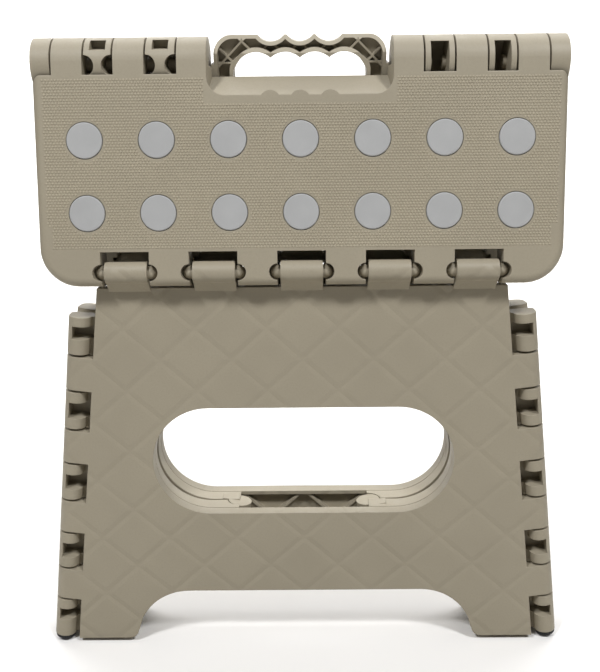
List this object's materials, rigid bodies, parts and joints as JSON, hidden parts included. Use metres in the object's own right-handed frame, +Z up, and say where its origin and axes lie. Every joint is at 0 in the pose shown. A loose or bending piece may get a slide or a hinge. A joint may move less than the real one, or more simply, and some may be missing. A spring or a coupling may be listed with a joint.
{
  "type": "folding step stool",
  "caption": "Folding plastic step stool, folded flat and standing: hinged tread halves with round grip dots and a hand hole, leg panels and folding end panels.",
  "frame": {"origin": "floor level under the middle of the folded stool", "axes": "+Z up; front tread half and front leg face -Y; +X to the right seen from the front"},
  "size_m": [0.3278, 0.0628, 0.3765],
  "materials": {
    "tread_plastic": "matte moulded, finely bumped",
    "leg_plastic": "matte moulded",
    "end_plastic": "matte moulded",
    "grip_dot": "matte grey rubber",
    "foot_rubber": "black rubber"
  },
  "bodies": {
    "front_leg": {"front_leg": "leg_plastic"},
    "front_tread": {"front_tread": "tread_plastic", "front_dot_row1_1": "grip_dot", "front_dot_row1_2": "grip_dot", "front_dot_row1_3": "grip_dot", "front_dot_row1_4": "grip_dot", "front_dot_row1_5": "grip_dot", "front_dot_row1_6": "grip_dot", "front_dot_row1_7": "grip_dot", "front_dot_row2_1": "grip_dot", "front_dot_row2_2": "grip_dot", "front_dot_row2_3": "grip_dot", "front_dot_row2_4": "grip_dot", "front_dot_row2_5": "grip_dot", "front_dot_row2_6": "grip_dot", "front_dot_row2_7": "grip_dot"},
    "rear_tread": {"rear_tread": "tread_plastic", "rear_dot_row1_1": "grip_dot", "rear_dot_row1_2": "grip_dot", "rear_dot_row1_3": "grip_dot", "rear_dot_row1_4": "grip_dot", "rear_dot_row1_5": "grip_dot", "rear_dot_row1_6": "grip_dot", "rear_dot_row1_7": "grip_dot", "rear_dot_row2_1": "grip_dot", "rear_dot_row2_2": "grip_dot", "rear_dot_row2_3": "grip_dot", "rear_dot_row2_4": "grip_dot", "rear_dot_row2_5": "grip_dot", "rear_dot_row2_6": "grip_dot", "rear_dot_row2_7": "grip_dot"},
    "rear_leg": {"rear_leg": "leg_plastic"},
    "left_end_front": {"left_end_front": "end_plastic", "front_left_foot": "foot_rubber"},
    "left_end_rear": {"left_end_rear": "end_plastic", "rear_left_foot": "foot_rubber"},
    "right_end_front": {"right_end_front": "end_plastic", "front_right_foot": "foot_rubber"},
    "right_end_rear": {"right_end_rear": "end_plastic", "rear_right_foot": "foot_rubber"}
  },
  "joints": [
    {"name": "front_leg_hinge", "type": "hinge", "parent": "front_leg", "child": "front_tread", "pos_m": [0, -0.0245, 0.244], "axis": [-1, 0, 0], "range_deg": [0, 82.08]},
    {"name": "tread_fold", "type": "hinge", "parent": "front_tread", "child": "rear_tread", "pos_m": [0, 0, 0.35841], "axis": [1, 0, 0], "range_deg": [0, 164.16]},
    {"name": "rear_leg_hinge", "type": "hinge", "parent": "rear_tread", "child": "rear_leg", "pos_m": [0, 0.0245, 0.244], "axis": [-1, 0, 0], "range_deg": [0, 82.08]},
    {"name": "left_corner_hinge", "type": "hinge", "parent": "front_leg", "child": "left_end_front", "pos_m": [-0.14329, -0.0134, 0.12], "axis": [0.1184, 0, 0.993], "range_deg": [0, 87.98]},
    {"name": "left_end_fold", "type": "hinge", "parent": "left_end_front", "child": "left_end_rear", "pos_m": [-0.03754, 0, 0.12], "axis": [-0.1184, 0, -0.993], "range_deg": [0, 175.96]},
    {"name": "right_corner_hinge", "type": "hinge", "parent": "front_leg", "child": "right_end_front", "pos_m": [0.14329, -0.0134, 0.12], "axis": [0.1184, 0, -0.993], "range_deg": [0, 87.98]},
    {"name": "right_end_fold", "type": "hinge", "parent": "right_end_front", "child": "right_end_rear", "pos_m": [0.03754, 0, 0.12], "axis": [-0.1184, 0, 0.993], "range_deg": [0, 175.96]}
  ],
  "couplings": [
    {"joint": "front_leg_hinge", "follows": "tread_fold", "ratio": 0.5},
    {"joint": "rear_leg_hinge", "follows": "tread_fold", "ratio": 0.5},
    {"joint": "left_corner_hinge", "follows": "tread_fold", "ratio": 0.53593},
    {"joint": "left_end_fold", "follows": "tread_fold", "ratio": 1.0719},
    {"joint": "right_corner_hinge", "follows": "tread_fold", "ratio": 0.53593},
    {"joint": "right_end_fold", "follows": "tread_fold", "ratio": 1.0719}
  ]
}
